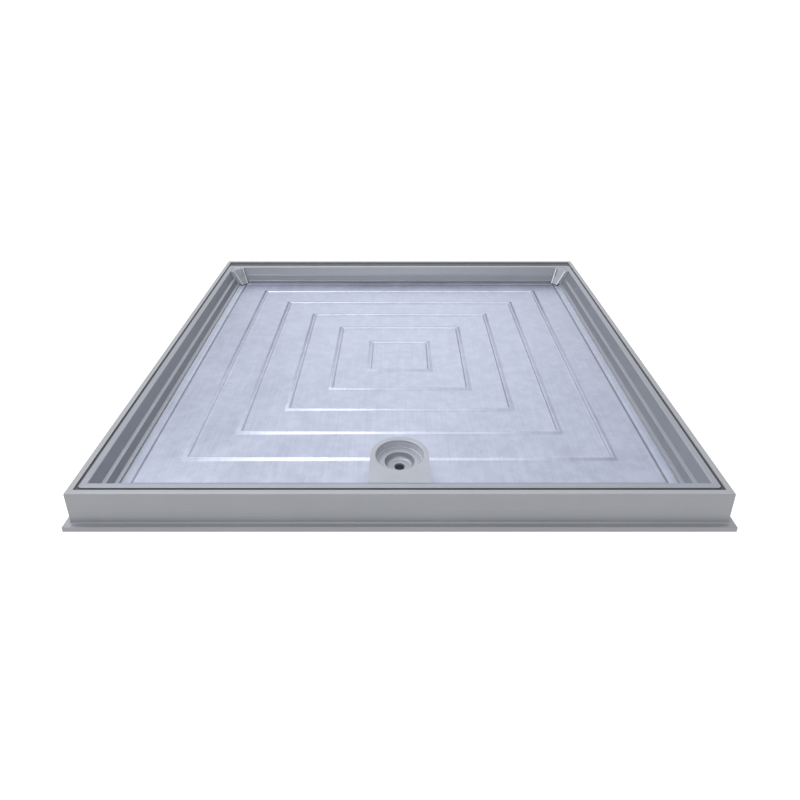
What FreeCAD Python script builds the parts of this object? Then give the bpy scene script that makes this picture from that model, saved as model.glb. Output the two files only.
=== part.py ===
# Recessed paving cover: a square aluminium frame and, resting in it, a shallow
# galvanised tray that is filled with the paving of the ground around it.
# Millimetres, +Z up. The origin is the middle of the frame's underside.
# The front is towards -Y, the side with the socket for the lifting key.
import FreeCAD, Part
import math
import os
import Sketcher
from FreeCAD import Placement, Rotation, Vector

SIZES = [
    # the frame's extrusion
    ("frame_size", 680.0),
    ("frame_height", 43.5),
    ("frame_wall", 6.6),
    ("flange_reach", 6.6),
    ("flange_thick", 6.0),
    ("root_radius", 2.2),
    ("edge_round", 0.6),
    ("clear_opening", 600.0),
    ("seat_thick", 5.0),
    ("slot_skin", 2.1),
    ("slot_width", 2.4),
    ("slot_bottom", 12.0),
    ("slot_height", 24.0),
    # flat corner keys in the frame's slot
    ("frame_key_leg", 52.0),
    ("key_play", 0.1),
    # gap between frame and tray, and the seal in it
    ("side_gap", 3.0),
    ("back_gap", 20.0),
    ("seal_bed", 1.5),
    ("seal_drop", 1.5),
    ("seal_play", 0.1),
    # the tray's edge extrusion, measured inwards from its outer face and down from its top
    ("rim_top", 7.4),
    ("rim_round", 1.5),
    ("rim_corner", 4.0),
    ("rim_skin", 2.4),
    ("rim_foot", 18.0),
    ("ledge_place", 13.1),
    ("ledge_width", 4.6),
    ("ledge_depth", 13.0),
    ("lip_place", 20.8),
    ("lip_width", 4.7),
    ("lip_depth", 22.0),
    ("lip_thick", 1.2),
    ("rest_thick", 2.0),
    # block keys in the tray edge's chamber
    ("rim_key_leg", 48.0),
    ("rim_key_chamfer", 3.0),
    # the pressed base pan
    ("pan_thick", 1.5),
    ("pan_play", 0.1),
    ("base_depth", 25.5),
    ("bend_place", 38.9),
    ("rib_width", 9.5),
    ("rib_rise", 2.0),
    ("rib_fall", 2.6),
    ("first_rib", 44.2),
    ("rib_spacing", 50.9),
    ("rib_centre", 3.0),
    # the key socket
    ("socket_width", 65.0),
    ("socket_place", 55.0),
    ("socket_edge", 1.2),
    ("recess_radius", 26.0),
    ("recess_draft", 0.8),
    ("recess_depth", 9.0),
    ("recess_edge", 1.1),
    ("bowl_radius", 16.4),
    ("bowl_draft", 1.4),
    ("bowl_depth", 16.4),
    ("bowl_edge", 2.6),
    ("key_hole", 11.5),
    ("fit_play", 0.1),
    # the threaded bush that the lifting key screws into
    ("bush_radius", 10.0),
    ("bush_rise", 7.0),
    ("bush_flange", 15.0),
    ("bush_flange_thick", 3.0),
    ("bush_bore", 10.2),
    # screws that hold the socket down from below
    ("screw_radius", 3.0),
    ("screw_length", 12.0),
    ("screw_head_radius", 5.2),
    ("screw_head_thick", 3.2),
    ("screw_spread", 24.0),
    # cast blocks in the tray's two back corners
    ("block_drop", 0.5),
    ("block_face_top", 21.3),
    ("block_face_foot", 36.2),
    ("block_half_top", 10.8),
    ("block_half_foot", 5.8),
    ("block_edge", 2.2),
    ("block_panel", 1.0),
    ("block_pocket", 2.4),
    ("block_step", 12.6),
]
RIB_COUNT = 5
SIDES = [("front", 0), ("right", 90), ("back", 180), ("left", 270)]
CORNERS = [("front_left", 0), ("front_right", 90), ("back_right", 180), ("back_left", 270)]
BACK_CORNERS = CORNERS[2:]

doc = FreeCAD.newDocument("recessed_paving_cover")
sheet = doc.addObject("Spreadsheet::Sheet", "Sizes")
for row, (alias, number) in enumerate(SIZES, 1):
    sheet.set("A%d" % row, alias)
    sheet.set("B%d" % row, str(number))
    sheet.setAlias("B%d" % row, alias)
doc.recompute()

nodes = []


def size(text):
    """Names of sizes in a formula become cells of the sheet."""
    words = {alias for alias, number in SIZES}
    out = ""
    word = ""
    for sign in text + " ":
        if sign.isalnum() or sign == "_":
            word += sign
            continue
        out += "Sizes." + word if word in words else word
        out += sign
        word = ""
    return out.strip()


def value(text):
    return float(sheet.evalExpression(size(text)))


def node(thing, label):
    thing.Label = label
    nodes.append(thing)
    return thing


# Levels and places that several pieces share, as formulas of the sizes.
TOP = "(frame_height)"
FRAME_INSIDE = "(frame_size / 2 - frame_wall)"
TRAY_SIDE = "(frame_size / 2 - frame_wall - side_gap)"
TRAY_BACK = "(frame_size / 2 - frame_wall - back_gap)"
LEDGE_TOP = "(frame_height - ledge_depth)"
LEDGE_END = "(ledge_place + ledge_width)"
LIP_TOP = "(frame_height - lip_depth)"
LIP_END = "(lip_place + lip_width)"
PAN_EDGE_TOP = "(frame_height - lip_depth - lip_thick - pan_play)"
PAN_EDGE_UNDER = "(frame_height - lip_depth - lip_thick - pan_play - pan_thick)"
PAN_TOP = "(frame_height - base_depth)"
PAN_UNDER = "(frame_height - base_depth - pan_thick)"
GROOVE_END = "(lip_place + 0.5)"
TRAY_FOOT = "(seat_thick + seal_bed)"
SOCKET_Y = "(-(frame_size / 2 - frame_wall - side_gap - socket_place))"
CORNER_AT = {
    "front_left": ("-" + TRAY_SIDE, "-" + TRAY_SIDE),
    "front_right": (TRAY_SIDE, "-" + TRAY_SIDE),
    "back_right": (TRAY_SIDE, TRAY_BACK),
    "back_left": ("-" + TRAY_SIDE, TRAY_BACK),
}


def new_body(name):
    return doc.addObject("PartDesign::Body", name)


def origin_plane(body, role):
    return [item for item in body.Origin.OriginFeatures if item.Role == role][0]


def new_sketch(body, name, role, height=None):
    """A sketch on one of the body's origin planes, or at a height above it."""
    sketch = body.newObject("Sketcher::SketchObject", name)
    sketch.AttachmentSupport = [(origin_plane(body, role), "")]
    sketch.MapMode = "FlatFace"
    if height:
        sketch.setExpression("AttachmentOffset.Base.z", size(height))
    return sketch


def fix_point(sketch, curve, end, x, y):
    """Ties one end of a curve to the place that two formulas give; None leaves a direction free."""
    for kind, axis, text in (("DistanceX", -2, x), ("DistanceY", -1, y)):
        if text is None:
            continue
        if text == "0":
            sketch.addConstraint(Sketcher.Constraint("PointOnObject", curve, end, axis))
            continue
        rule = Sketcher.Constraint(kind, -1, 1, curve, end, value(text))
        sketch.setExpression("Constraints[%d]" % sketch.addConstraint(rule), size(text))


def add_outline(sketch, corners, arcs=()):
    """A closed outline through corners given as formulas. arcs maps the number of a
    side to the formulas of its arc's centre; such a side turns anticlockwise."""
    arcs = dict(arcs)
    places = [Vector(value(x), value(y), 0) for x, y in corners]
    first = sketch.GeometryCount
    for number, start in enumerate(places):
        end = places[(number + 1) % len(places)]
        if number in arcs:
            middle = Vector(value(arcs[number][0]), value(arcs[number][1]), 0)
            circle = Part.Circle(middle, Vector(0, 0, 1), start.distanceToPoint(middle))
            turn = [math.atan2(p.y - middle.y, p.x - middle.x) for p in (start, end)]
            if turn[1] < turn[0]:
                turn[1] += 2 * math.pi
            sketch.addGeometry(Part.ArcOfCircle(circle, turn[0], turn[1]), False)
        else:
            sketch.addGeometry(Part.LineSegment(start, end), False)
    for number, (x, y) in enumerate(corners):
        following = first + (number + 1) % len(corners)
        sketch.addConstraint(Sketcher.Constraint("Coincident", first + number, 2, following, 1))
        fix_point(sketch, first + number, 1, x, y)
    for number, (x, y) in arcs.items():
        fix_point(sketch, first + number, 3, None, y)


def add_circle(sketch, x, y, radius):
    circle = Part.Circle(Vector(value(x), value(y), 0), Vector(0, 0, 1), value(radius))
    number = sketch.addGeometry(circle, False)
    fix_point(sketch, number, 3, x, y)
    rule = sketch.addConstraint(Sketcher.Constraint("Radius", number, value(radius)))
    sketch.setExpression("Constraints[%d]" % rule, size(radius))


def extrude(body, kind, name, sketch, length=None, side="One side", flip=False):
    """A Pad or Pocket of a sketch: of a length given as a formula, or right through."""
    feature = body.newObject("PartDesign::" + kind, name)
    feature.Profile = sketch
    feature.SideType = side
    feature.Reversed = flip
    if length:
        feature.setExpression("Length", size(length))
    else:
        feature.Type = "ThroughAll"
    sketch.Visibility = False
    return feature


def loft(body, kind, name, lower, upper):
    feature = body.newObject("PartDesign::" + kind, name)
    feature.Profile = lower
    feature.Sections = [upper]
    feature.Ruled = True
    return feature


def soften(body, kind, name, feature, wanted, length):
    """A Fillet or Chamfer on the edges of a feature for which wanted(edge) is true."""
    doc.recompute()
    edges = ["Edge%d" % (n + 1) for n, edge in enumerate(feature.Shape.Edges) if wanted(edge)]
    softened = body.newObject("PartDesign::" + kind, name)
    softened.Base = (feature, edges)
    softened.setExpression("Radius" if kind == "Fillet" else "Size", size(length))
    return softened


def runs_at(y, z):
    """Test for an edge that lies along X at a height z and a distance y."""
    def wanted(edge):
        return all(abs(v.Y - value(y)) < 0.01 and abs(v.Z - value(z)) < 0.01 for v in edge.Vertexes)
    return wanted


def place(thing, x, y, turn=0):
    thing.setExpression("Placement.Base.x", size(x))
    thing.setExpression("Placement.Base.y", size(y))
    thing.Placement = Placement(Vector(value(x), value(y), 0), Rotation(Vector(0, 0, 1), turn))


def mirror_ends(body, cuts):
    """Repeats cuts made at the bar's right end on its left end."""
    mirror = body.newObject("PartDesign::Mirrored", "other_end")
    mirror.Originals = cuts
    mirror.MirrorPlane = (origin_plane(body, "YZ_Plane"), [""])
    body.Tip = mirror


def mitred_bar(label, section, chamber, length, reach, depth, rounds, corner=None):
    """A length of extrusion along X, its outer face at y = 0 and its section running
    inwards along +Y, cut at 45 degrees at both ends."""
    body = new_body(label)
    outline = new_sketch(body, "section", "YZ_Plane")
    add_outline(outline, section)
    add_outline(outline, chamber)
    bar = extrude(body, "Pad", "bar", outline, length + " + 2 * " + reach, "Symmetric")
    for number, (y, z, radius) in enumerate(rounds):
        bar = soften(body, "Fillet", "edge_%d" % number, bar, runs_at(y, z), radius)
    end = length + " / 2"
    mitre = new_sketch(body, "mitre_line", "XY_Plane")
    add_outline(mitre, [
        (end + " + " + reach, "-" + reach),
        (end + " + " + reach, depth),
        (end + " - " + depth, depth),
    ])
    cuts = [extrude(body, "Pocket", "mitre", mitre, None, "Symmetric")]
    if corner:
        nose = new_sketch(body, "corner_line", "XY_Plane")
        add_outline(nose, [
            (end, corner),
            (end + " + " + reach, corner),
            (end + " + " + reach, "-" + reach),
            (end + " - " + corner, "-" + reach),
            (end + " - " + corner, "0"),
        ], {4: (end + " - " + corner, corner)})
        rounding = extrude(body, "Pocket", "corner", nose, None, "Symmetric")
        cuts.append(rounding)
    mirror_ends(body, cuts)
    return body


def frame_bars():
    """Four mitred lengths of one extrusion: wall, outward flange and inward seat."""
    seat_end = "(frame_size / 2 - clear_opening / 2)"
    section = [
        ("-flange_reach", "0"),
        (seat_end, "0"),
        (seat_end, "seat_thick"),
        ("frame_wall", "seat_thick"),
        ("frame_wall", TOP),
        ("0", TOP),
        ("0", "flange_thick"),
        ("-flange_reach", "flange_thick"),
    ]
    slot_end = "(slot_skin + slot_width)"
    slot_top = "(slot_bottom + slot_height)"
    chamber = [
        ("slot_skin", "slot_bottom"),
        (slot_end, "slot_bottom"),
        (slot_end, slot_top),
        ("slot_skin", slot_top),
    ]
    rounds = [
        ("0", "flange_thick", "root_radius"),
        ("0", TOP, "edge_round"),
        ("-flange_reach", "flange_thick", "edge_round"),
    ]
    half = "(frame_size / 2)"
    at = {"front": ("0", "-" + half), "right": (half, "0"), "back": ("0", half), "left": ("-" + half, "0")}
    for side, turn in SIDES:
        bar = mitred_bar("frame_" + side, section, chamber, "frame_size", "(flange_reach + 2)",
                         "(" + seat_end + " + 2)", rounds)
        place(bar, at[side][0], at[side][1], turn)
        node(bar, "frame_" + side)


def rim_wall(play):
    """The inner face of the tray's edge from its top down to the lip, as (inward
    distance, height) formulas, moved off the face by some play."""
    return [
        ("rim_top + " + play, TOP),
        ("ledge_place + " + play, LEDGE_TOP + " + " + play),
        (LEDGE_END + " + " + play, LEDGE_TOP + " + " + play),
        ("lip_place + " + play, LIP_TOP + " + " + play),
        (LIP_END + " + " + play, LIP_TOP + " + " + play),
    ]


def rim_bars():
    """Four mitred lengths of the tray's edge: a hollow extrusion whose sloping inner
    wall has a ledge half way down and a lip over the groove that holds the pan."""
    section = [("0", TRAY_FOOT), ("0", TOP)] + rim_wall("0 * rim_top") + [
        (LIP_END, LIP_TOP + " - lip_thick"),
        (GROOVE_END, LIP_TOP + " - lip_thick"),
        (GROOVE_END, PAN_EDGE_UNDER),
        (LIP_END, PAN_EDGE_UNDER),
        (LIP_END, PAN_EDGE_UNDER + " - rest_thick"),
        ("rim_foot", PAN_EDGE_UNDER + " - rest_thick"),
        ("rim_foot", TRAY_FOOT),
    ]
    rounds = [("rim_top", TOP, "rim_round"), ("0", TOP, "edge_round")]
    middle = "(" + TRAY_BACK + " - " + TRAY_SIDE + ") / 2"
    at = {
        "front": ("0", "-" + TRAY_SIDE),
        "right": (TRAY_SIDE, middle),
        "back": ("0", TRAY_BACK),
        "left": ("-" + TRAY_SIDE, middle),
    }
    across = "(2 * " + TRAY_SIDE + ")"
    along = "(" + TRAY_SIDE + " + " + TRAY_BACK + ")"
    for side, turn in SIDES:
        length = across if side in ("front", "back") else along
        bar = mitred_bar("rim_" + side, section, KEY_CHAMBER, length, "(2 * rim_skin)",
                         "(" + LIP_END + " + 2)", rounds, "rim_corner")
        place(bar, at[side][0], at[side][1], turn)
        node(bar, "rim_" + side)


# The chamber in the tray's edge, which the block keys fill at the corners.
CHAMBER_FLOOR = "(seat_thick + seal_bed + rim_skin)"
CHAMBER_END = "(rim_foot - rim_skin)"
CHAMBER_STEP = "(frame_height - ledge_depth - rim_skin)"
KEY_CHAMBER = [
    ("rim_skin", CHAMBER_FLOOR),
    (CHAMBER_END, CHAMBER_FLOOR),
    (CHAMBER_END, CHAMBER_STEP),
    ("ledge_place - 0.8 * rim_skin", CHAMBER_STEP),
    ("rim_top", "frame_height - 2 * rim_skin"),
    ("rim_skin", "frame_height - 2 * rim_skin"),
]


def corner_key(label, near, far, leg, floor, height, chamfer=None):
    """An L-shaped key lying in the chambers of two mitred bars."""
    body = new_body(label)
    outline = new_sketch(body, "outline", "XY_Plane", floor)
    corners = [(near, near), (leg, near), (leg, far), (far, far), (far, leg), (near, leg)]
    if chamfer:
        tip = "(" + leg + " - " + chamfer + ")"
        corners[1:3] = [(tip, near), (leg, near + " + " + chamfer), (leg, far)]
        corners[5:7] = [(far, leg), (near + " + " + chamfer, leg), (near, tip)]
    add_outline(outline, corners)
    extrude(body, "Pad", "key", outline, height)
    return body


def corner_keys():
    """Flat steel keys in the frame's slots and cast keys in the tray edge's chambers."""
    half = "(frame_size / 2)"
    frame_at = {"front_left": ("-" + half, "-" + half), "front_right": (half, "-" + half),
                "back_right": (half, half), "back_left": ("-" + half, half)}
    for corner, turn in CORNERS:
        key = corner_key("frame_key_" + corner, "(slot_skin + key_play)",
                         "(slot_skin + slot_width - key_play)", "frame_key_leg",
                         "(slot_bottom + key_play)", "slot_height - 2 * key_play")
        place(key, frame_at[corner][0], frame_at[corner][1], turn)
        node(key, "frame_key_" + corner)
    for corner, turn in CORNERS:
        key = corner_key("rim_key_" + corner, "(rim_skin + key_play)",
                         "(" + CHAMBER_END + " - key_play)", "rim_key_leg",
                         "(" + CHAMBER_FLOOR + " + key_play)",
                         CHAMBER_STEP + " - " + CHAMBER_FLOOR + " - 2 * key_play", "rim_key_chamfer")
        place(key, CORNER_AT[corner][0], CORNER_AT[corner][1], turn)
        node(key, "rim_key_" + corner)


def tray_rectangle(inset):
    """The tray's outline moved inwards by a distance."""
    side = "(" + TRAY_SIDE + " - (" + inset + "))"
    back = "(" + TRAY_BACK + " - (" + inset + "))"
    return [("-" + side, "-" + side), (side, "-" + side), (side, back), ("-" + side, back)]


def seal():
    """One rubber ring: a bed under the tray's foot and a lip that fills the gap."""
    body = new_body("seal")
    outside = [("-" + FRAME_INSIDE, "-" + FRAME_INSIDE), (FRAME_INSIDE, "-" + FRAME_INSIDE),
               (FRAME_INSIDE, FRAME_INSIDE), ("-" + FRAME_INSIDE, FRAME_INSIDE)]
    bed = new_sketch(body, "bed_line", "XY_Plane", "seat_thick")
    add_outline(bed, outside)
    add_outline(bed, tray_rectangle("rim_foot - 2 * seal_bed"))
    extrude(body, "Pad", "bed", bed, "seal_bed")
    lip = new_sketch(body, "lip_line", "XY_Plane", TRAY_FOOT)
    add_outline(lip, outside)
    near = "(" + TRAY_SIDE + " + seal_play)"
    far = "(" + TRAY_BACK + " + seal_play)"
    bend = "rim_corner"
    add_outline(lip, [
        ("-" + near + " + " + bend, "-" + near),
        (near + " - " + bend, "-" + near),
        (near, "-" + near + " + " + bend),
        (near, far + " - " + bend),
        (near + " - " + bend, far),
        ("-" + near + " + " + bend, far),
        ("-" + near, far + " - " + bend),
        ("-" + near, "-" + near + " + " + bend),
    ], {
        1: (near + " - " + bend, "-" + near + " + " + bend),
        3: (near + " - " + bend, far + " - " + bend),
        5: ("-" + near + " + " + bend, far + " - " + bend),
        7: ("-" + near + " + " + bend, "-" + near + " + " + bend),
    })
    extrude(body, "Pad", "lip", lip, TOP + " - seal_drop - " + TRAY_FOOT)
    node(body, "seal")


def bead_outline(sketch, middle, floor, play="0 * rib_rise"):
    """The low section of a pressed rib at the front: it curves up slowly from the
    outside to its crest and falls steeply on the inside."""
    half = "(rib_width / 2 + " + play + ")"
    rise = "(rib_rise + " + play + ")"
    climb = "(rib_width - rib_fall + 2 * " + play + ")"
    crest = middle + " + " + half + " - rib_fall"
    drop = "((" + climb + " * " + climb + " - " + rise + " * " + rise + ") / (2 * " + rise + "))"
    add_outline(sketch, [
        (middle + " - " + half, floor),
        (middle + " + " + half, floor),
        (crest, floor + " + " + rise),
    ], {2: (crest, floor + " - " + drop)})


def base_pan():
    """The pressed steel pan: its edge lies in the groove, its margin slopes down to a
    flat base, and square ribs one inside the other are pressed up from below."""
    body = new_body("base_pan")
    under_base = new_sketch(body, "under_base", "XY_Plane", PAN_UNDER)
    add_outline(under_base, tray_rectangle("bend_place"))
    under_edge = new_sketch(body, "under_edge", "XY_Plane", PAN_EDGE_UNDER)
    add_outline(under_edge, tray_rectangle(LIP_END))
    loft(body, "AdditiveLoft", "margin", under_base, under_edge)
    sheet_line = new_sketch(body, "sheet_line", "XY_Plane", PAN_EDGE_UNDER)
    add_outline(sheet_line, tray_rectangle(GROOVE_END + " + pan_play"))
    extrude(body, "Pad", "edge", sheet_line, "pan_thick")
    base = new_sketch(body, "base_line", "XY_Plane", PAN_TOP)
    add_outline(base, tray_rectangle("bend_place"))
    rise = new_sketch(body, "rise_line", "XY_Plane", PAN_EDGE_TOP)
    add_outline(rise, tray_rectangle(LIP_END))
    loft(body, "SubtractiveLoft", "dish", base, rise)
    for number in range(RIB_COUNT):
        pressed_rib(body, number)
    pan_holes(body)
    node(body, "base_pan")


def rib_reach(number):
    return "(first_rib + %d * rib_spacing)" % number


def pressed_rib(body, number):
    """One square rib: its section swept round the square above, and cut below."""
    reach = rib_reach(number)
    front = "(-rib_centre - " + reach + ")"
    back = "(-rib_centre + " + reach + ")"
    for kind, level in (("AdditivePipe", PAN_TOP), ("SubtractivePipe", PAN_UNDER)):
        path = new_sketch(body, "rib_path_%d" % number, "XY_Plane", level)
        add_outline(path, [("0", front), (reach, front), (reach, back), ("-" + reach, back),
                           ("-" + reach, front)])
        bead = new_sketch(body, "rib_bead_%d" % number, "YZ_Plane")
        bead_outline(bead, front, level)
        sweep = body.newObject("PartDesign::" + kind, "rib_%d" % number)
        sweep.Profile = bead
        sweep.Spine = path
        sweep.Transition = "Right corner"


def pan_holes(body):
    """Holes under the key socket, for its bush and its screws."""
    line = new_sketch(body, "hole_line", "XY_Plane", PAN_UNDER)
    add_circle(line, "0", SOCKET_Y, "bush_radius + fit_play")
    add_circle(line, "screw_spread", SOCKET_Y, "screw_radius + fit_play")
    add_circle(line, "-screw_spread", SOCKET_Y, "screw_radius + fit_play")
    extrude(body, "Pocket", "holes", line, None, "Symmetric")


def clear_of_tray(sketch, play, face="0 * rim_top"):
    """An outline over the tray's edge, whose outer face is at face, and over the pan:
    what stands in the tray is cut to it."""
    line = [
        ("-rim_top", TOP + " + rim_top"),
        ("-rim_top", "0"),
        ("2 * bend_place", "0"),
        ("2 * bend_place", PAN_TOP),
        ("bend_place + " + play, PAN_TOP),
        (LIP_END + " + " + play, PAN_EDGE_TOP + " + " + play),
    ] + rim_wall(play)[::-1] + [("rim_top + " + play, TOP + " + rim_top")]
    add_outline(sketch, [(face + " + " + inward, height) for inward, height in line])


def key_socket():
    """A casting flush with the tray's edge, with a stepped round recess for the key."""
    body = new_body("key_socket")
    half = "(socket_width / 2)"
    front = "(-" + TRAY_SIDE + " + rim_top / 2)"
    plan = new_sketch(body, "plan", "XY_Plane", PAN_TOP)
    add_outline(plan, [("-" + half, front), (half, front), (half, SOCKET_Y), ("-" + half, SOCKET_Y)],
                {2: ("0", SOCKET_Y)})
    block = extrude(body, "Pad", "block", plan, "base_depth")

    def upper_outline(edge):
        level = all(abs(v.Z - value(TOP)) < 0.01 for v in edge.Vertexes)
        return level and edge.BoundBox.YLength > 1
    soften(body, "Chamfer", "top_edge", block, upper_outline, "socket_edge")
    recess = new_sketch(body, "recess_line", "XZ_Plane", "-" + SOCKET_Y)
    floor = TOP + " - bowl_depth"
    add_outline(recess, [
        ("0", TOP + " + recess_edge"),
        ("recess_radius + 2 * recess_edge", TOP + " + recess_edge"),
        ("recess_radius", TOP + " - recess_edge"),
        ("recess_radius - recess_draft", TOP + " - recess_depth"),
        ("bowl_radius", TOP + " - recess_depth"),
        ("bowl_radius - bowl_draft", floor + " + bowl_edge"),
        ("bowl_radius - bowl_draft - bowl_edge", floor),
        ("key_hole / 2", floor),
        ("key_hole / 2", PAN_TOP),
        ("0", PAN_TOP),
    ])
    groove = body.newObject("PartDesign::Groove", "recess")
    groove.Profile = recess
    groove.ReferenceAxis = (recess, ["V_Axis"])
    groove.Angle = 360
    under = new_sketch(body, "under_line", "YZ_Plane")
    clear_of_tray(under, "fit_play", "-" + TRAY_SIDE)
    extrude(body, "Pocket", "seat", under, None, "Symmetric")
    socket_underside(body)
    node(body, "key_socket")


def socket_underside(body):
    """The channel over the outermost rib, the bush's bore and two screw holes."""
    channel = new_sketch(body, "channel_line", "YZ_Plane")
    bead_outline(channel, "(-rib_centre - " + rib_reach(RIB_COUNT - 1) + ")", PAN_TOP, "fit_play")
    extrude(body, "Pocket", "channel", channel, None, "Symmetric")
    bore = new_sketch(body, "bore_line", "XY_Plane", PAN_TOP)
    add_circle(bore, "0", SOCKET_Y, "bush_radius + fit_play")
    extrude(body, "Pocket", "bore", bore, "bush_rise + fit_play", flip=True)
    holes = new_sketch(body, "screw_line", "XY_Plane", PAN_TOP)
    add_circle(holes, "screw_spread", SOCKET_Y, "screw_radius + fit_play")
    add_circle(holes, "-screw_spread", SOCKET_Y, "screw_radius + fit_play")
    extrude(body, "Pocket", "screw_holes", holes, "screw_length", flip=True)


def lifting_bush():
    """A flanged steel bush pressed up through the pan into the socket."""
    body = new_body("lifting_bush")
    line = new_sketch(body, "section", "XZ_Plane", "-" + SOCKET_Y)
    bore = "bush_bore / 2"
    shoulder = PAN_UNDER
    foot = "(" + PAN_UNDER + " - bush_flange_thick)"
    add_outline(line, [
        (bore, foot),
        ("bush_flange", foot),
        ("bush_flange", shoulder),
        ("bush_radius", shoulder),
        ("bush_radius", PAN_TOP + " + bush_rise"),
        (bore, PAN_TOP + " + bush_rise"),
    ])
    turned = body.newObject("PartDesign::Revolution", "turned")
    turned.Profile = line
    turned.ReferenceAxis = (line, ["V_Axis"])
    turned.Angle = 360
    node(body, "lifting_bush")


def socket_screws():
    """Two pan-head screws from below, through the pan into the socket."""
    screws = []
    for name, side in (("left", "-"), ("right", "")):
        shank = doc.addObject("Part::Cylinder", "shank_" + name)
        shank.setExpression("Radius", size("screw_radius"))
        shank.setExpression("Height", size("screw_length - 1"))
        head = doc.addObject("Part::Cylinder", "head_" + name)
        head.setExpression("Radius", size("screw_head_radius"))
        head.setExpression("Height", size("screw_head_thick"))
        for piece, level in ((shank, PAN_UNDER), (head, PAN_UNDER + " - screw_head_thick")):
            place(piece, side + "screw_spread", SOCKET_Y)
            piece.setExpression("Placement.Base.z", size(level))
        screw = doc.addObject("Part::Fuse", "screw_" + name)
        screw.Base = shank
        screw.Tool = head
        screws.append(screw)
    pair = doc.addObject("Part::Compound", "socket_screws")
    pair.Links = screws
    node(pair, "socket_screws")


def corner_block(label):
    """A casting that bridges the tray's inner corner: its narrow face leans inwards
    to a tapered foot and has a stepped panel between two raised edges."""
    body = new_body(label)
    high = "(" + TOP + " - block_drop)"
    fall = "(base_depth - block_drop)"
    reach_top = "(block_face_top + block_half_top / sqrt(2))"
    reach_foot = "(block_face_foot + block_half_foot / sqrt(2))"
    blank = new_sketch(body, "blank_line", "XY_Plane", PAN_TOP)
    add_outline(blank, [("0", "0"), (reach_foot, "0"), (reach_foot, reach_foot), ("0", reach_foot)])
    extrude(body, "Pad", "blank", blank, fall)
    for name, role, turn, low, top in (
            ("lean_across", "XZ_Plane", 0, reach_foot, reach_top),
            ("lean_along", "YZ_Plane", 0, reach_foot, reach_top),
            ("lean_face", "XZ_Plane", 45, "(block_face_foot * sqrt(2))", "(block_face_top * sqrt(2))")):
        line = new_sketch(body, name + "_line", role)
        line.AttachmentOffset = Placement(Vector(0, 0, 0), Rotation(Vector(0, 1, 0), turn))
        far = "(2 * " + reach_foot + ")"
        add_outline(line, [(low, PAN_TOP), (far, PAN_TOP), (far, high), (top, high)])
        extrude(body, "Pocket", name, line, None, "Symmetric")
    run = "((block_face_foot - block_face_top) * sqrt(2))"
    slope = "sqrt(" + run + " * " + run + " + " + fall + " * " + fall + ")"
    widening = "((block_half_top - block_half_foot) / " + slope + ")"
    tilt = "rotation(vector(0; 0; 1); 135) * rotation(vector(1; 0; 0); atan(%s / %s))" % (fall, run)
    foot = "vector(block_face_foot; block_face_foot; " + PAN_TOP + ")"
    step = "(" + slope + " * (1 - (block_step - block_drop) / " + fall + "))"
    for name, start, depth in (("panel", "(0 - block_edge)", "block_panel"),
                               ("upper_panel", step, "block_pocket")):
        face = new_sketch(body, name + "_line", "XY_Plane")
        face.setExpression("AttachmentOffset", size("placement(" + foot + "; " + tilt + ")"))
        doc.recompute()
        end = "(" + slope + " + 2 * block_edge)"
        low = "(block_half_foot - block_edge + " + widening + " * " + start + ")"
        top = "(block_half_foot - block_edge + " + widening + " * " + end + ")"
        add_outline(face, [("-" + low, start), (low, start), (top, end), ("-" + top, end)])
        extrude(body, "Pocket", name, face, depth)
    for name, role in (("fit_across", "XZ_Plane"), ("fit_along", "YZ_Plane")):
        line = new_sketch(body, name + "_line", role)
        clear_of_tray(line, "fit_play")
        extrude(body, "Pocket", name, line, None, "Symmetric")
    return body


def corner_blocks():
    for corner, turn in BACK_CORNERS:
        block = corner_block("corner_block_" + corner)
        place(block, CORNER_AT[corner][0], CORNER_AT[corner][1], turn)
        node(block, "corner_block_" + corner)


frame_bars()
rim_bars()
corner_keys()
seal()
base_pan()
key_socket()
lifting_bush()
socket_screws()
corner_blocks()
doc.recompute()

for thing in doc.Objects:
    if "Invalid" in thing.State or "Error" in thing.State:
        raise RuntimeError("%s failed: %s" % (thing.Label, thing.State))
os.makedirs("parts", exist_ok=True)
for thing in nodes:
    if thing.Shape.isNull() or not thing.Shape.isValid():
        raise RuntimeError("%s has no valid shape" % thing.Label)
for thing in nodes:
    thing.Shape.exportStep("parts/%s.step" % thing.Label)
    print("%-26s %2d solids %12.1f mm3" % (thing.Label, len(thing.Shape.Solids), thing.Shape.Volume))
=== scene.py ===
import math

import bmesh
import bpy
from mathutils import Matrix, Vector


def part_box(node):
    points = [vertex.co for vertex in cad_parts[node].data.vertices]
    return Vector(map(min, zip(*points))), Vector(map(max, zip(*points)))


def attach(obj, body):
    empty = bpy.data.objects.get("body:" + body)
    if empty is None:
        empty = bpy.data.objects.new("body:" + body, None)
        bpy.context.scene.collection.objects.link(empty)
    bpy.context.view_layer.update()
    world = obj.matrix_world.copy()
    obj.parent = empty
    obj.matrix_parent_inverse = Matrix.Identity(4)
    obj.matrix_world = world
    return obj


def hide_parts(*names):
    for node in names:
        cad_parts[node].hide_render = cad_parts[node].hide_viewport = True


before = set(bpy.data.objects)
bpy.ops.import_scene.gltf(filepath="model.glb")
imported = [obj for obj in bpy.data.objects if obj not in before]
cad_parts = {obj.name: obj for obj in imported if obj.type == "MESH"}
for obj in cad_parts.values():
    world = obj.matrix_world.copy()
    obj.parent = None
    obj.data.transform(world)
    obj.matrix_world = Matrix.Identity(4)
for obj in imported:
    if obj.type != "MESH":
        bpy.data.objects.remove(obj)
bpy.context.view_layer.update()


# The camera stands 0.85 m in front of the cover's middle and 0.48 m above the ground, and
# looks down by 24 degrees. The shift moves the cover to its place in the picture.
MM = 0.001
LOOKS_DOWN = 24
camera_data = bpy.data.cameras.new("camera")
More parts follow.
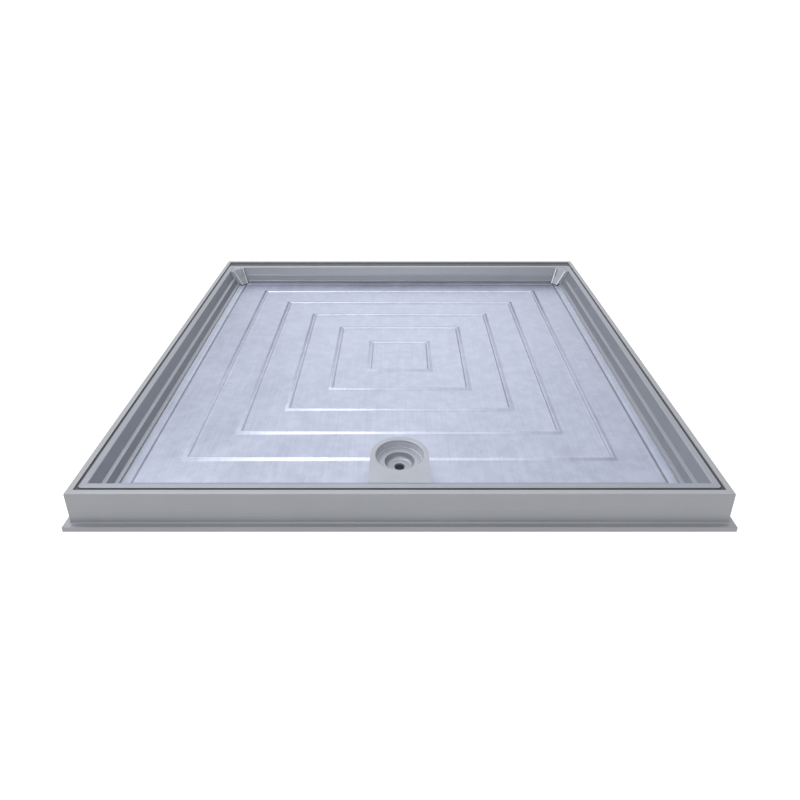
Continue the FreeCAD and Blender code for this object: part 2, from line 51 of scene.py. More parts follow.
camera_data.lens = 28.566
camera_data.sensor_width = 36.0
camera_data.shift_x = 0.0005
camera_data.shift_y = -0.121
camera_data.clip_end = 200.0
camera = bpy.data.objects.new("camera", camera_data)
camera.location = (0.0, -847.1 * MM, 480.3 * MM)
camera.rotation_euler = (math.radians(90 - LOOKS_DOWN), 0.0, 0.0)
bpy.context.scene.collection.objects.link(camera)
bpy.context.scene.camera = camera
bpy.context.scene.view_settings.view_transform = "Standard"


# The floor: a wide sheet of white studio paper. It is lit from below, so that it fades into
# the white room, and its glow is lower under the cover, which is a painted shadow.
def linear(code):
    """An sRGB hex colour as linear red, green, blue and alpha."""
    parts = [int(code[i:i + 2], 16) / 255 for i in (1, 3, 5)]
    curve = [p / 12.92 if p <= 0.04045 else ((p + 0.055) / 1.055) ** 2.4 for p in parts]
    return (*curve, 1.0)


def add_node(tree, kind, settings=None, links=None):
    """Adds one node. Settings are its own properties. Links go into its sockets, each as
    another node's socket, as a node, which gives its first output, or as a plain value."""
    made = tree.nodes.new(kind)
    for key, value in (settings or {}).items():
        setattr(made, key, value)
    for key, value in (links or {}).items():
        if isinstance(value, bpy.types.Node):
            value = value.outputs[0]
        if isinstance(value, bpy.types.NodeSocket):
            tree.links.new(value, made.inputs[key])
        else:
            made.inputs[key].default_value = value
    return made


def new_material(name):
    """An empty material, its tree, and the object's own coordinates in it."""
    material = bpy.data.materials.new(name)
    material.use_nodes = True
    tree = material.node_tree
    tree.nodes.clear()
    return material, tree, add_node(tree, "ShaderNodeTexCoord").outputs["Object"]


def new_object(name, bm):
    """Turns a finished bmesh into an object at the origin."""
    mesh = bpy.data.meshes.new(name)
    bm.to_mesh(mesh)
    bm.free()
    made = bpy.data.objects.new(name, mesh)
    bpy.context.scene.collection.objects.link(made)
    return made


# Uncoated paper: matt and white, with no sheen. A Map Range's sockets 0 to 4 are its value,
# the range that this comes from and the range that it goes to.
FLOOR_HALF_WIDTH = 60.0
SHADE_REACH = 330 * MM
SHADE_END = 345 * MM
paper, tree, coords = new_material("white_studio_paper")
matt = add_node(tree, "ShaderNodeBsdfDiffuse", None, {"Color": linear("#8c8c8c")})
outwards = add_node(tree, "ShaderNodeVectorMath", {"operation": "ABSOLUTE"}, {0: coords})
outwards = add_node(tree, "ShaderNodeSeparateXYZ", None, {0: outwards}).outputs
furthest = add_node(tree, "ShaderNodeMath", {"operation": "MAXIMUM"}, {0: outwards[0], 1: outwards[1]})
# The glow is lower under the cover: a painted shadow.
glow_with_painted_shadow = add_node(tree, "ShaderNodeMapRange", None,
                {0: furthest, 1: SHADE_REACH, 2: SHADE_END, 3: 0.25, 4: 0.95})
lift = add_node(tree, "ShaderNodeEmission", None, {"Color": linear("#ffffff"), "Strength": glow_with_painted_shadow})
both = add_node(tree, "ShaderNodeAddShader", None, {0: matt, 1: lift})
add_node(tree, "ShaderNodeOutputMaterial", None, {"Surface": both})
bm = bmesh.new()
bmesh.ops.create_grid(bm, x_segments=1, y_segments=1, size=FLOOR_HALF_WIDTH)
floor = new_object("studio_floor", bm)
floor.data.materials.append(paper)


# The room: soft white light from every side, with the bright and dim walls that the metal
# mirrors. The axes of a ray's way are 0 right, 1 back and 2 up. A Mix's sockets are 0 for its
# share, and 2 and 3 for the numbers or 6 and 7 for the colours that it mixes.
world = bpy.data.worlds.new("studio_room")
world.use_nodes = True
bpy.context.scene.world = world
tree = world.node_tree
tree.nodes.clear()
way = add_node(tree, "ShaderNodeTexCoord").outputs["Generated"]
axes = add_node(tree, "ShaderNodeSeparateXYZ", None, {0: way}).outputs
SMOOTH = {"interpolation_type": "SMOOTHSTEP"}
MULTIPLY = {"operation": "MULTIPLY"}
FLOAT = {"data_type": "FLOAT"}

# The walls: the back one is the brightest, and they dim a little higher up.
wall = add_node(tree, "ShaderNodeMapRange", SMOOTH, {0: axes[1], 1: -0.3, 2: 0.5, 3: 0.72, 4: 1.2})
higher = add_node(tree, "ShaderNodeMapRange", SMOOTH, {0: axes[2], 1: 0.5, 2: 0.68, 3: 1.0, 4: 0.75})
wall = add_node(tree, "ShaderNodeMath", MULTIPLY, {0: wall, 1: higher})

# Their foot: dim on the left, and dimmer in front than at the back.
foot = add_node(tree, "ShaderNodeMapRange", SMOOTH, {0: axes[0], 1: -0.5, 2: -0.05, 3: 0.3, 4: 1.05})
nearer = add_node(tree, "ShaderNodeMapRange", SMOOTH, {0: axes[1], 1: 0.0, 2: 0.5, 3: 0.6, 4: 1.0})
foot = add_node(tree, "ShaderNodeMath", MULTIPLY, {0: foot, 1: nearer})
up = add_node(tree, "ShaderNodeMapRange", SMOOTH, {0: axes[2], 1: 0.3, 2: 0.47, 3: 0.0, 4: 1.0})
room = add_node(tree, "ShaderNodeMix", FLOAT, {0: up, 2: foot, 3: wall})

# The ceiling is bright, most of all at the back, and the whole room dims far to the right.
ceiling = add_node(tree, "ShaderNodeMapRange", SMOOTH, {0: axes[1], 1: -0.3, 2: 0.45, 3: 1.0, 4: 1.4})
up = add_node(tree, "ShaderNodeMapRange", SMOOTH, {0: axes[2], 1: 0.74, 2: 0.88, 3: 0.0, 4: 1.0})
room = add_node(tree, "ShaderNodeMix", FLOAT, {0: up, 2: room, 3: ceiling})
sides = add_node(tree, "ShaderNodeMapRange", SMOOTH, {0: axes[0], 1: 0.35, 2: 0.85, 3: 1.09, 4: 0.52})
room = add_node(tree, "ShaderNodeMath", MULTIPLY, {0: room, 1: sides})

# A soft panel on the back wall gives the pan its sheen. It fades from its middle outwards.
PANEL_WAY = Vector((0.0, 0.88, 0.46)).normalized()
PANEL_EDGE = math.cos(math.radians(18))
PANEL_MIDDLE = math.cos(math.radians(4))
facing = add_node(tree, "ShaderNodeVectorMath", {"operation": "DOT_PRODUCT"},
                  {0: way, 1: PANEL_WAY}).outputs["Value"]
panel = add_node(tree, "ShaderNodeMapRange", SMOOTH,
                 {0: facing, 1: PANEL_EDGE, 2: PANEL_MIDDLE, 3: 0.0, 4: 0.65})
room = add_node(tree, "ShaderNodeMath", {"operation": "ADD"}, {0: room, 1: panel})

# Past the cover the camera sees the room itself as plain white.
SEEN_WHITE = 1.1
seen = add_node(tree, "ShaderNodeLightPath").outputs["Is Camera Ray"]
room = add_node(tree, "ShaderNodeMix", FLOAT, {0: seen, 2: room, 3: SEEN_WHITE})
back = add_node(tree, "ShaderNodeBackground", None, {"Color": linear("#fcfdff"), "Strength": room})
add_node(tree, "ShaderNodeOutputWorld", None, {"Surface": back})


# The lamps: soft boxes around the cover, in metres and watts. The low one on the left picks
# out the walls that face it, the one overhead gives the pressed ribs their highlights, and
# the other two fill in the right side and the front.
def softbox(name, place, target, width, height, power, mirrored=True):
    """A soft rectangular lamp at a place, turned towards a target. One that isn't mirrored
    lights the metal without a white patch in the sheet."""
    lamp = bpy.data.lights.new(name, "AREA")
    lamp.shape = "RECTANGLE"
    lamp.size = width
    lamp.size_y = height
    lamp.energy = power
    made = bpy.data.objects.new(name, lamp)
    made.location = place
    made.rotation_euler = (Vector(target) - Vector(place)).to_track_quat("-Z", "Y").to_euler()
    made.visible_camera = False
    made.visible_glossy = mirrored
    bpy.context.scene.collection.objects.link(made)


softbox("lamp_low_left", (-3.0, 0.5, 1.1), (0, 0, 0), 3.0, 1.6, 46, mirrored=False)
softbox("lamp_overhead", (-0.85, 0.35, 2.0), (-0.4, 0.1, 0), 1.5, 1.2, 24)
softbox("lamp_right", (0.65, 0.35, 2.0), (0.3, 0.1, 0), 1.2, 1.2, 5)
softbox("lamp_front", (0.0, -2.2, 1.9), (0, -0.3, 0), 1.5, 1.0, 19)


# The frame: four mitred lengths of one aluminium extrusion, each with a wall, a flange
# outside and a seat inside. Flat steel keys in the slot of the wall hold the corners.
FRAME_EDGE = 0.35 * MM
FLAT_ANGLE = math.radians(1)
SHARP_ANGLE = math.radians(30)
SMOOTH_ANGLE = math.radians(40)


def shade_by_angle(piece):
    """Smooth shading on curves, with flat faces kept flat beside them."""
    piece.data.shade_smooth()
    piece.data.set_sharp_from_angle(angle=SMOOTH_ANGLE)
    weighted = piece.modifiers.new("flat_faces", "WEIGHTED_NORMAL")
    weighted.keep_sharp = True


def softened_copy(name, node, width, segments=2, mark=None):
    """A CAD solid with its edges broken by a small bevel, as handling and deburring do.
    A mark function may give the plain shape's faces other materials first."""
    bm = bmesh.new()
    bm.from_mesh(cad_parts[node].data)
    bmesh.ops.remove_doubles(bm, verts=bm.verts, dist=1e-6)
    bmesh.ops.dissolve_limit(bm, angle_limit=FLAT_ANGLE, verts=bm.verts, edges=bm.edges)
    if mark:
        mark(bm)
    sharp = [e for e in bm.edges if len(e.link_faces) == 2 and e.calc_face_angle() > SHARP_ANGLE]
    bmesh.ops.bevel(bm, geom=sharp, offset=width, offset_type="OFFSET", segments=segments,
                    profile=0.5, affect="EDGES", material=-1, clamp_overlap=True)
    made = new_object(name, bm)
    shade_by_angle(made)
    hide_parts(node)
    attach(made, "root")
    return made


# Mill-finish aluminium, as it leaves the die: a quiet grey sheen, with fine lines along the
# bar and cloudy marks from handling. The die's lines are 1.6 mm apart and 300 mm long here,
# which is coarser than real ones, so that they show. The marks are about 45 mm across.
LINE_GAP = 1.6 * MM
LINE_LENGTH = 300 * MM
MARK_WIDTH = 45 * MM


def extruded_aluminium(name, colours, runs_along, metallic, roughness):
    """Mill-finish aluminium for a bar that runs along X or Y, from its dark to its light."""
    material, tree, coords = new_material(name)
    across, along = 1 / LINE_GAP, 1 / LINE_LENGTH
    stretch = (along, across, across) if runs_along == "X" else (across, along, across)
    lines = add_node(tree, "ShaderNodeMapping", None, {"Vector": coords, "Scale": stretch})
    die = add_node(tree, "ShaderNodeTexNoise", None,
                   {"Vector": lines, "Scale": 1.0, "Detail": 3.0, "Roughness": 0.6})
    marks = add_node(tree, "ShaderNodeTexNoise", None,
                     {"Vector": coords, "Scale": 1 / MARK_WIDTH, "Detail": 4.0, "Roughness": 0.65})
    mixed = add_node(tree, "ShaderNodeMix", FLOAT, {0: 0.55, 2: die, 3: marks})
    share = add_node(tree, "ShaderNodeMapRange", None, {0: mixed, 1: 0.35, 2: 0.65})
    tint = add_node(tree, "ShaderNodeMix", {"data_type": "RGBA"},
                    {0: share, 6: linear(colours[0]), 7: linear(colours[1])}).outputs[2]
    rough = add_node(tree, "ShaderNodeMapRange", None,
                     {0: mixed, 1: 0.3, 2: 0.7, 3: roughness - 0.05, 4: roughness + 0.06})
    bump = add_node(tree, "ShaderNodeBump", None, {"Strength": 0.12, "Distance": 0.03 * MM, "Height": die})
    shader = add_node(tree, "ShaderNodeBsdfPrincipled", None,
                      {"Base Color": tint, "Metallic": metallic, "Roughness": rough, "Normal": bump})
    add_node(tree, "ShaderNodeOutputMaterial", None, {"Surface": shader})
    return material


FRAME_COLOURS = ("#87898d", "#8d8f93")
frame_across = extruded_aluminium("mill_aluminium_frame_across", FRAME_COLOURS, "X", 0.2, 0.45)
frame_along = extruded_aluminium("mill_aluminium_frame_along", FRAME_COLOURS, "Y", 0.2, 0.45)
for side, metal in (("front", frame_across), ("right", frame_along),
                    ("back", frame_across), ("left", frame_along)):
    bar = softened_copy("frame_bar_" + side, "frame_" + side, FRAME_EDGE)
    bar.data.materials.append(metal)


def finish_node(name, material):
    """Gives a CAD node its material and leaves its shape alone."""
    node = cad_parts[name]
    node.data.materials.clear()
    node.data.materials.append(material)


# Zinc-plated steel: bright grey metal whose sheen changes over grains about 3 mm across.
ZINC_GRAIN = 3 * MM
zinc_plate, tree, coords = new_material("zinc_plated_steel")
grain = add_node(tree, "ShaderNodeTexNoise", None,
                 {"Vector": coords, "Scale": 1 / ZINC_GRAIN, "Detail": 3.0})
rough = add_node(tree, "ShaderNodeMapRange", None, {0: grain, 3: 0.32, 4: 0.5})
shader = add_node(tree, "ShaderNodeBsdfPrincipled", None,
                  {"Base Color": linear("#8f9196"), "Metallic": 1.0, "Roughness": rough})
add_node(tree, "ShaderNodeOutputMaterial", None, {"Surface": shader})
CORNERS = ("front_left", "front_right", "back_right", "back_left")
for corner in CORNERS:
    finish_node("frame_key_" + corner, zinc_plate)


# The seal: one moulded ring of black rubber. It lies under the tray's foot, and fills the
# gap to the frame, which is wide at the back, to a little below flush.
SEAL_EDGE = 0.8 * MM
seal = softened_copy("rubber_seal", "seal", SEAL_EDGE, 3)

# Moulded rubber: matt near-black, with pale dust in patches about 12 mm across.
DUST_WIDTH = 12 * MM
rubber, tree, coords = new_material("black_moulded_rubber")
dust = add_node(tree, "ShaderNodeTexNoise", None,
                {"Vector": coords, "Scale": 1 / DUST_WIDTH, "Detail": 5.0})
share = add_node(tree, "ShaderNodeMapRange", None, {0: dust, 1: 0.4, 2: 0.75})
tint = add_node(tree, "ShaderNodeMix", {"data_type": "RGBA"},
                {0: share, 6: linear("#23252c"), 7: linear("#33363e")}).outputs[2]
shader = add_node(tree, "ShaderNodeBsdfPrincipled", None,
                  {"Base Color": tint, "Roughness": 0.5, "IOR": 1.52})
add_node(tree, "ShaderNodeOutputMaterial", None, {"Surface": shader})
seal.data.materials.append(rubber)


# The tray's edge: four mitred lengths of a second aluminium extrusion, with a sloping inner
# wall, a ledge and a lip. Its mill finish mirrors more of the room than the frame's does.
# Cast keys in its chamber hold the corners.
TRAY_EDGE = 0.3 * MM
TRAY_COLOURS = ("#84878f", "#8a8d95")
tray_across = extruded_aluminium("mill_aluminium_tray_across", TRAY_COLOURS, "X", 0.5, 0.4)
tray_along = extruded_aluminium("mill_aluminium_tray_along", TRAY_COLOURS, "Y", 0.5, 0.4)
for side, metal in (("front", tray_across), ("right", tray_along),
                    ("back", tray_across), ("left", tray_along)):
    bar = softened_copy("tray_edge_" + side, "rim_" + side, TRAY_EDGE)
    bar.data.materials.append(metal)


# Cast aluminium: a soft grey with a sandy skin and broad, faint patches 18 mm across. The
# skin's grain is 1.4 mm, coarser than the real one, so that it shows.
SKIN_GRAIN = 1.4 * MM
PATCH_WIDTH = 18 * MM


def cast_metal(name, dark, light, metallic, roughness):
    """Cast aluminium, whose skin and patches run from dark to light."""
    material, tree, coords = new_material(name)
    skin = add_node(tree, "ShaderNodeTexNoise", None,
                    {"Vector": coords, "Scale": 1 / SKIN_GRAIN, "Detail": 4.0, "Roughness": 0.6})
    patches = add_node(tree, "ShaderNodeTexNoise", None,
                       {"Vector": coords, "Scale": 1 / PATCH_WIDTH, "Detail": 3.0})
    mixed = add_node(tree, "ShaderNodeMix", FLOAT, {0: 0.5, 2: skin, 3: patches})
    share = add_node(tree, "ShaderNodeMapRange", None, {0: mixed, 1: 0.35, 2: 0.65})
    tint = add_node(tree, "ShaderNodeMix", {"data_type": "RGBA"},
                    {0: share, 6: linear(dark), 7: linear(light)}).outputs[2]
    bump = add_node(tree, "ShaderNodeBump", None, {"Strength": 0.2, "Distance": 0.06 * MM, "Height": skin})
    shader = add_node(tree, "ShaderNodeBsdfPrincipled", None,
                      {"Base Color": tint, "Metallic": metallic, "Roughness": roughness, "Normal": bump})
    add_node(tree, "ShaderNodeOutputMaterial", None, {"Surface": shader})
    return material


key_casting = cast_metal("die_cast_aluminium", "#85878c", "#8e9095", 0.5, 0.45)
for corner in CORNERS:
    finish_node("rim_key_" + corner, key_casting)


# The pan: 1.5 mm galvanised sheet, pressed in one piece, with its edge in the groove under
# the tray's lip. A hollow margin runs down to a crease, and five square ribs stiffen the
# floor, the inner ones less high.
low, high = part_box("base_pan")
SHEET = 1.5 * MM
BASE_TOP = low[2] + SHEET
EDGE_TOP = high[2]
EDGE_FLAT = 3.6 * MM
CREASE_AT = 15.6 * MM
CREASE = 0.5 * MM

# The ribs' middle, how far the first and the next ones lie from it in millimetres, and each
# one's height.
RIB_MIDDLE_Y = -3.0 * MM
FIRST_RIB = 44.2
RIB_SPACING = 50.9
RIB_REACHES = [(FIRST_RIB + RIB_SPACING * n) * MM for n in range(5)]
RIB_RISES = [1.6 * MM, 1.75 * MM, 1.9 * MM, 2.0 * MM, 2.0 * MM]
RIB_WIDTH = 9.5 * MM
RIB_FALL = 3.2 * MM
RIB_CLIMB = RIB_WIDTH - RIB_FALL
RIB_FOOT = 1.2 * MM
RIB_BORDER = 1.5 * MM

# Each step of the margin: how far it goes inwards, and the height that it comes to.
MARGIN = [
    (EDGE_FLAT - 1.2 * MM, EDGE_TOP),
    (1.2 * MM, EDGE_TOP - 0.1 * MM),
    (1.2 * MM, EDGE_TOP - 0.35 * MM),
    (4.0 * MM, EDGE_TOP - 1.45 * MM),
    (1.2 * MM, EDGE_TOP - 1.7 * MM),
    (CREASE_AT - 1.25 * MM - EDGE_FLAT - 6.4 * MM, BASE_TOP + 0.1 * MM),
    (1.1 * MM, BASE_TOP - CREASE),
    (0.3 * MM, BASE_TOP - CREASE),
    (1.1 * MM, BASE_TOP),
    (10.0 * MM, BASE_TOP),
]

# A rib from its outer foot inwards: a long climb in 8 steps, then a short fall in 5. Each
# step has its way inwards and its share of the rib's height.
RIB_SECTION = [(RIB_CLIMB * k / 8, (1 - math.cos(math.pi * k / 8)) / 2) for k in range(9)]
RIB_SECTION += [(RIB_CLIMB + RIB_FALL * k / 5, (1 + math.cos(math.pi * k / 5)) / 2) for k in range(1, 6)]


def step_in(bm, face, inset, height):
    """Carries the middle face inwards and brings it to a height, leaving a ring behind."""
    bmesh.ops.inset_region(bm, faces=[face], thickness=inset, use_even_offset=True, use_boundary=True)
    bmesh.ops.translate(bm, verts=face.verts, vec=(0, 0, height - face.verts[0].co.z))


bm = bmesh.new()
corners = [(low[0], low[1]), (high[0], low[1]), (high[0], high[1]), (low[0], high[1])]
face = bm.faces.new([bm.verts.new((x, y, EDGE_TOP)) for x, y in corners])
for inwards, height in MARGIN:
    step_in(bm, face, inwards, height)
at = RIB_REACHES[-1] + RIB_WIDTH / 2 + RIB_BORDER
for vert in face.verts:
    vert.co.x = math.copysign(at, vert.co.x)
    vert.co.y = RIB_MIDDLE_Y + math.copysign(at, vert.co.y)
for reach, rise in zip(reversed(RIB_REACHES), reversed(RIB_RISES)):
    outer = reach + RIB_WIDTH / 2
    for inwards, share in RIB_SECTION:
        step_in(bm, face, at - (outer - inwards), BASE_TOP + rise * share)
        at = outer - inwards
    step_in(bm, face, RIB_FOOT, BASE_TOP)
    at -= RIB_FOOT
pan = new_object("pressed_pan", bm)
sheet = pan.modifiers.new("sheet", "SOLIDIFY")
sheet.thickness = SHEET
sheet.offset = -1.0


def cut_away(piece, bm):
    """Cuts the closed shape in bm out of the piece, and makes its modifiers part of it."""
    cutter = new_object("cutter", bm)
    cut = piece.modifiers.new("cut", "BOOLEAN")
    cut.operation = "DIFFERENCE"
    cut.solver = "EXACT"
    cut.object = cutter
    shown = piece.evaluated_get(bpy.context.evaluated_depsgraph_get())
    mesh = bpy.data.meshes.new_from_object(shown)
    piece.modifiers.clear()
    piece.data = mesh
    bpy.data.objects.remove(cutter)


# Three holes under the key socket: one for its bush and two for its screws.
SOCKET_Y = -275.4 * MM
BUSH_HOLE = 10.1 * MM
SCREW_HOLE = 3.1 * MM
SCREW_SPREAD = 24 * MM
DRILL_LENGTH = 20 * MM
bm = bmesh.new()
for x, radius in ((0.0, BUSH_HOLE), (-SCREW_SPREAD, SCREW_HOLE), (SCREW_SPREAD, SCREW_HOLE)):
    drilled = bmesh.ops.create_cone(bm, cap_ends=True, segments=48, radius1=radius, radius2=radius,
                                    depth=DRILL_LENGTH)
    bmesh.ops.translate(bm, verts=drilled["verts"], vec=(x, SOCKET_Y, BASE_TOP))
cut_away(pan, bm)
shade_by_angle(pan)

# Galvanised sheet: bright, bluish metal. The rolls leave streaks from front to back, and the
# zinc has clouds 60 mm across and mottles of 14 mm. The streaks are 1.8 mm wide, coarser than
# real ones, so that they show.
STREAK_WIDTH = 1.8 * MM
STREAK_LENGTH = 70 * MM
CLOUD_WIDTH = 60 * MM
MOTTLE_WIDTH = 14 * MM
zinc, tree, coords = new_material("galvanised_sheet_steel")
rolled = add_node(tree, "ShaderNodeMapping", None,
                  {"Vector": coords, "Scale": (1 / STREAK_WIDTH, 1 / STREAK_LENGTH, 1 / STREAK_LENGTH)})
streaks = add_node(tree, "ShaderNodeTexNoise", None,
                   {"Vector": rolled, "Scale": 1.0, "Detail": 3.0, "Roughness": 0.6})
clouds = add_node(tree, "ShaderNodeTexNoise", None,
                  {"Vector": coords, "Scale": 1 / CLOUD_WIDTH, "Detail": 4.0, "Roughness": 0.6})
mixed = add_node(tree, "ShaderNodeMix", FLOAT, {0: 0.5, 2: streaks, 3: clouds})
share = add_node(tree, "ShaderNodeMapRange", None, {0: mixed, 1: 0.35, 2: 0.65})
tint = add_node(tree, "ShaderNodeMix", {"data_type": "RGBA"},
                {0: share, 6: linear("#9ba0b0"), 7: linear("#a7acbc")}).outputs[2]
rough = add_node(tree, "ShaderNodeMapRange", None, {0: mixed, 1: 0.3, 2: 0.7, 3: 0.29, 4: 0.4})
bump = add_node(tree, "ShaderNodeBump", None, {"Strength": 0.15, "Distance": 0.03 * MM, "Height": streaks})

# How far a point lies from the pan's nearest edge.
SUBTRACT = {"operation": "SUBTRACT"}
MINIMUM = {"operation": "MINIMUM"}
axes = add_node(tree, "ShaderNodeSeparateXYZ", None, {0: coords}).outputs
nearest = []
for axis in (0, 1):
    from_low = add_node(tree, "ShaderNodeMath", SUBTRACT, {0: axes[axis], 1: low[axis]})
    from_high = add_node(tree, "ShaderNodeMath", SUBTRACT, {0: high[axis], 1: axes[axis]})
    nearest.append(add_node(tree, "ShaderNodeMath", MINIMUM, {0: from_low, 1: from_high}))
from_edge = add_node(tree, "ShaderNodeMath", MINIMUM, {0: nearest[0], 1: nearest[1]})

# Painted shade: a dark line along the crease and a margin darker towards the lip. Then the mottles over
# the whole sheet.
CREASE_SHADE_REACH = 0.8 * MM
CREASE_SHADE_END = 1.9 * MM
MARGIN_END = 14 * MM
off_crease = add_node(tree, "ShaderNodeMath", SUBTRACT, {0: from_edge, 1: CREASE_AT})
off_crease = add_node(tree, "ShaderNodeMath", {"operation": "ABSOLUTE"}, {0: off_crease})
# A dark line of painted shade along the crease.
crease_shade = add_node(tree, "ShaderNodeMapRange", SMOOTH,
                 {0: off_crease, 1: CREASE_SHADE_REACH, 2: CREASE_SHADE_END, 3: 0.5, 4: 1.0})
# Painted shade over the margin, darker towards the lip.
margin = add_node(tree, "ShaderNodeMapRange", SMOOTH,
                  {0: from_edge, 1: EDGE_FLAT, 2: MARGIN_END, 3: 0.9, 4: 1.0})
painted_shade_and_mottle = add_node(tree, "ShaderNodeMath", MULTIPLY, {0: crease_shade, 1: margin})
mottle = add_node(tree, "ShaderNodeTexNoise", None,
                  {"Vector": coords, "Scale": 1 / MOTTLE_WIDTH, "Detail": 5.0, "Roughness": 0.7})
mottle = add_node(tree, "ShaderNodeMapRange", SMOOTH, {0: mottle, 1: 0.4, 2: 0.62, 3: 0.96, 4: 1.04})
painted_shade_and_mottle = add_node(tree, "ShaderNodeMath", MULTIPLY, {0: painted_shade_and_mottle, 1: mottle})
tint_with_painted_shade_and_mottle = add_node(tree, "ShaderNodeVectorMath", {"operation": "SCALE"}, {0: tint, "Scale": painted_shade_and_mottle})

# Along the lip, a pale and less metallic band: a painted highlight.
LIP_HIGHLIGHT_REACH = 3.2 * MM
LIP_HIGHLIGHT_END = 5.2 * MM
lip_highlight = add_node(tree, "ShaderNodeMapRange", SMOOTH,
                 {0: from_edge, 1: LIP_HIGHLIGHT_REACH, 2: LIP_HIGHLIGHT_END, 3: 1.0, 4: 0.0})
# The pale band along the lip is a painted highlight.
pale = add_node(tree, "ShaderNodeMix", {"data_type": "RGBA"},
                {0: lip_highlight, 6: tint_with_painted_shade_and_mottle, 7: linear("#c0c2c7")}).outputs[2]
metallic = add_node(tree, "ShaderNodeMapRange", SMOOTH, {0: lip_highlight, 1: 0.0, 2: 1.0, 3: 0.9, 4: 0.1})
shader = add_node(tree, "ShaderNodeBsdfPrincipled", None,
                  {"Base Color": pale, "Metallic": metallic, "Roughness": rough, "Normal": bump})
add_node(tree, "ShaderNodeOutputMaterial", None, {"Surface": shader})
pan.data.materials.append(zinc)
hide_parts("base_pan")
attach(pan, "root")


# The key socket: an aluminium casting screwed to the pan from below, flush with the tray's
# edge. Its stepped round recess takes the lifting key, whose thread goes down through the
# hole into the steel bush.
socket_low, socket_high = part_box("key_socket")
TOP = socket_high[2]
FOOT = socket_low[2]
HALF_WIDTH = 32.5 * MM
OVERHANG = 4 * MM
TOP_ROUND = 1.6 * MM

# The recess's section in millimetres, as radius and height over the top: a rounded mouth,
# the turned wall and its floor, the bowl, the hole and the bush's seat.
RECESS = [
    (28.5, 0.0), (27.4, 0.0), (26.9, -0.1), (26.4, -0.45), (26.0, -0.95), (25.85, -1.6),
    (25.3, -8.2), (25.1, -8.75), (24.6, -9.0),
    (17.2, -9.0), (16.7, -9.1), (16.35, -9.5), (16.2, -10.0),
    (15.4, -13.2), (15.0, -14.6), (14.1, -15.7), (12.8, -16.3), (11.6, -16.4),
    (6.5, -16.4), (6.0, -16.6), (5.75, -17.0), (5.75, -18.4), (10.1, -18.4), (10.1, -25.5),
]
WALL_HEAD = -1.6 * MM
WALL_FOOT = -8.9 * MM
bm = bmesh.new()
line = [bm.verts.new((r * MM, SOCKET_Y, TOP + z * MM)) for r, z in RECESS]
edges = [bm.edges.new(pair) for pair in zip(line, line[1:])]
bmesh.ops.spin(bm, geom=line + edges, cent=(0, SOCKET_Y, 0), axis=(0, 0, 1), dvec=(0, 0, 0),
               angle=2 * math.pi, steps=64, use_merge=True, use_duplicate=False)
# The recess's wall gets the second material, whose lighter colour is painted light in the recess.
for face in bm.faces:
    if WALL_FOOT < face.calc_center_median().z - TOP < WALL_HEAD:
        face.material_index = 1


def open_edges(bm, height):
    """The open edges of a shape whose middle lies at a height."""
    found = [e for e in bm.edges if len(e.link_faces) == 1]
    return [e for e in found if abs((e.verts[0].co + e.verts[1].co).z / 2 - height) < 1e-5]


def extruded(bm, edges):
    """Extrudes edges in place and returns the new edges' vertices."""
    out = bmesh.ops.extrude_edge_only(bm, edges=edges)
    return [item for item in out["geom"] if isinstance(item, bmesh.types.BMVert)]


# The top spreads from the recess's mouth to the round head, and its front half is drawn out
# past the tray's edge. The outline then goes down to the foot, which joins it to the bore.
for vert in extruded(bm, open_edges(bm, TOP)):
    away = Vector((vert.co.x, vert.co.y - SOCKET_Y, 0)).normalized() * HALF_WIDTH
    vert.co.x, vert.co.y = away.x, away.y + SOCKET_Y
FRONT_Y = socket_low[1] - OVERHANG
front_edges = [e for e in open_edges(bm, TOP) if (e.verts[0].co + e.verts[1].co).y / 2 < SOCKET_Y]
for vert in extruded(bm, front_edges):
    vert.co.y = FRONT_Y
bmesh.ops.translate(bm, verts=extruded(bm, open_edges(bm, TOP)), vec=(0, 0, FOOT - TOP))
bmesh.ops.bridge_loops(bm, edges=open_edges(bm, FOOT))
bmesh.ops.recalc_face_normals(bm, faces=bm.faces)
upper = [e for e in bm.edges if all(abs(v.co.z - TOP) < 1e-6 for v in e.verts)
         and len(e.link_faces) == 2 and e.calc_face_angle() > math.radians(60)]
bmesh.ops.bevel(bm, geom=upper, offset=TOP_ROUND, offset_type="OFFSET", segments=4, profile=0.5,
                affect="EDGES", material=-1, clamp_overlap=True)
socket = new_object("lifting_key_socket", bm)

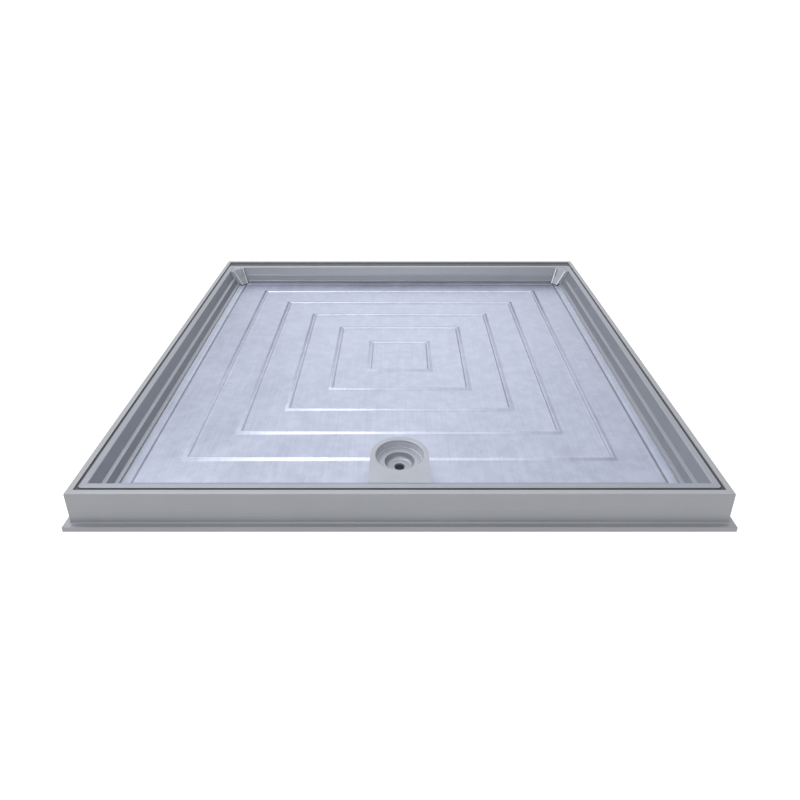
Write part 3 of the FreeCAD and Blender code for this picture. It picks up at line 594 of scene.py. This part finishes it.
# The casting is cut to fit over the tray's edge and the pan's margin. The section is in
# millimetres, inwards from the tray's outer face and up from the ground.
GAP = 0.1
EDGE_SHAPE = [(7.4 + GAP, 50), (7.4 + GAP, 43.5), (13.1 + GAP, 30.5 + GAP), (17.7 + GAP, 30.5 + GAP),
              (20.8 + GAP, 21.5 + GAP), (25.5 + GAP, 21.5 + GAP), (25.5 + GAP, 20.3), (26.8, 20.0),
              (30.8, 18.9), (32.0, 18.65), (36.2, 18.1), (38.9, 18.0), (38.9, 10), (-5, 10), (-5, 50)]
CUT_HALF_LENGTH = 50 * MM
tray_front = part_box("rim_front")[0][1]
bm = bmesh.new()
face = bm.faces.new([bm.verts.new((-CUT_HALF_LENGTH, tray_front + y * MM, z * MM)) for y, z in EDGE_SHAPE])
pushed = bmesh.ops.extrude_face_region(bm, geom=[face])
moved = [item for item in pushed["geom"] if isinstance(item, bmesh.types.BMVert)]
bmesh.ops.translate(bm, verts=moved, vec=(2 * CUT_HALF_LENGTH, 0, 0))
bmesh.ops.recalc_face_normals(bm, faces=bm.faces)
cut_away(socket, bm)
shade_by_angle(socket)

# Left as cast, but for the recess's turned wall, which is smoother, and lighter by painted light in the
# recess.
socket.data.materials.append(cast_metal("cast_aluminium", "#8b8e96", "#93969e", 0.35, 0.4))
socket.data.materials.append(cast_metal("cast_aluminium_painted_light", "#b4b7bf", "#bcbfc7", 0.35, 0.35))
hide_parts("key_socket")
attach(socket, "root")
finish_node("lifting_bush", zinc_plate)
finish_node("socket_screws", zinc_plate)


# The corner blocks: small aluminium castings that bridge the tray's two back corners and
# stand on the pan. Each has a stepped panel between two raised edges.
BLOCK_EDGE = 0.4 * MM
RAISED_WITHIN = 0.3 * MM


def mark_painted_highlights(bm):
    """Gives the second material, a painted highlight, to the block's raised edges, which are the faces
    that stand out furthest, and to the step in its panel."""
    bm.normal_update()
    leaning = [f for f in bm.faces if abs(abs(f.normal.x) - abs(f.normal.y)) < 0.02]
    stands_out = [(f.normal.dot(f.calc_center_median()), f) for f in leaning if f.normal.y < -0.4]
    furthest = max(far for far, face in stands_out)
    for far, face in stands_out:
        if far > furthest - RAISED_WITHIN:
            face.material_index = 1
    for face in leaning:
        if face.normal.y > 0.2 and face.normal.z > 0.3:
            face.material_index = 1


# Dull as cast, with a lighter copy of the metal on the raised edges and the step: painted highlights.
dull = cast_metal("dull_cast_aluminium", "#7c7f87", "#878a92", 0.15, 0.5)
# The lighter copy is a painted highlight.
highlight_metal = cast_metal("cast_aluminium_painted_highlight", "#a4a7af", "#b0b3bb", 0.3, 0.4)
for corner in CORNERS[2:]:
    block = softened_copy("corner_block_cast_" + corner, "corner_block_" + corner, BLOCK_EDGE, 2,
                          mark_painted_highlights)
    block.data.materials.append(dull)
    block.data.materials.append(highlight_metal)
